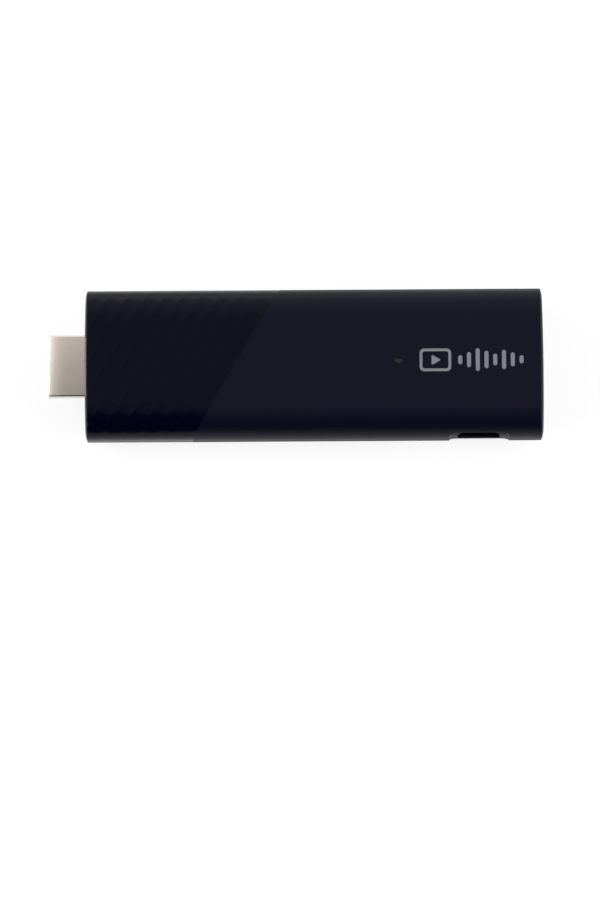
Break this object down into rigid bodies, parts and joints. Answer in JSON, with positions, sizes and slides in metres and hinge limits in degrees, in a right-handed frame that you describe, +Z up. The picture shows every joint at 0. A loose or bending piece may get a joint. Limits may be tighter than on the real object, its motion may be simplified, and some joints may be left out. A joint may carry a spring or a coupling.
{
  "type": "streaming media player",
  "caption": "Flat stick-shaped streaming media player with an HDMI plug at one end, a USB-C power socket in the side, wave-shaped grips and a recessed reset button.",
  "frame": {"origin": "centre of the bounding box at the underside, on the surface that the player lies on", "axes": "+X along the case away from the HDMI plug, +Z up through the face with the status light; the USB-C socket faces -Y"},
  "size_m": [0.1106, 0.034, 0.015],
  "materials": {
    "case_plastic": "fine matte texture, near-black navy",
    "light_plastic": "smoked, polished",
    "plug_nickel": "satin nickel plating",
    "socket_steel": "bright plated stainless steel",
    "connector_plastic": "moulded, fine grain",
    "contact_gold": "gold plated",
    "board_laminate": "glass fibre with green solder mask",
    "module_laminate": "glass fibre with blue solder mask",
    "chip_epoxy": "moulded epoxy",
    "ferrite": "pressed ferrite",
    "tantalum_body": "moulded",
    "capacitor_ceramic": "fired, tinned ends",
    "shield_tin": "tin plated sheet",
    "led_body": "moulded",
    "pad_silicone": "soft, dull",
    "sink_alloy": "extruded, matte",
    "carrier_plastic": "moulded",
    "antenna_plate": "gold plated sheet",
    "switch_plastic": "moulded",
    "dome_steel": "sprung sheet",
    "button_plastic": "moulded",
    "screw_steel": "zinc plated",
    "print_ink": "pad-printed grey ink"
  },
  "bodies": {
    "player": {"upper_shell": "case_plastic", "lower_shell": "case_plastic", "light_pipe": "light_plastic", "hdmi_shell": "plug_nickel", "hdmi_insulator": "connector_plastic", "hdmi_contacts": "contact_gold", "hdmi_bracket": "plug_nickel", "usb_c_shell": "socket_steel", "usb_c_insulator": "connector_plastic", "usb_c_contacts": "contact_gold", "usb_c_mid_plate": "socket_steel", "main_board": "board_laminate", "processor": "chip_epoxy", "memory_chips": "chip_epoxy", "storage_chip": "chip_epoxy", "power_chip": "chip_epoxy", "surge_protectors": "chip_epoxy", "power_inductors": "ferrite", "bulk_capacitors": "tantalum_body", "ceramic_capacitors": "capacitor_ceramic", "clock_crystals": "shield_tin", "status_led": "led_body", "wireless_board": "module_laminate", "wireless_can": "shield_tin", "end_antenna_carrier": "carrier_plastic", "end_antenna": "antenna_plate", "side_antenna": "antenna_plate", "top_shield_frame": "shield_tin", "top_shield_lid": "shield_tin", "bottom_shield_frame": "shield_tin", "bottom_shield_lid": "shield_tin", "processor_pad": "pad_silicone", "top_gap_pad": "pad_silicone", "bottom_gap_pad": "pad_silicone", "top_heat_sink": "sink_alloy", "bottom_heat_sink": "sink_alloy", "reset_switch_case": "switch_plastic", "reset_contact_dome": "dome_steel", "board_screws": "screw_steel"},
    "button": {"reset_button": "button_plastic"}
  },
  "joints": [
    {"name": "reset_press", "type": "slide", "parent": "player", "child": "button", "axis": [0, 0, 1], "range_m": [0, 0.00025], "stiffness_N_per_m": 300}
  ]
}
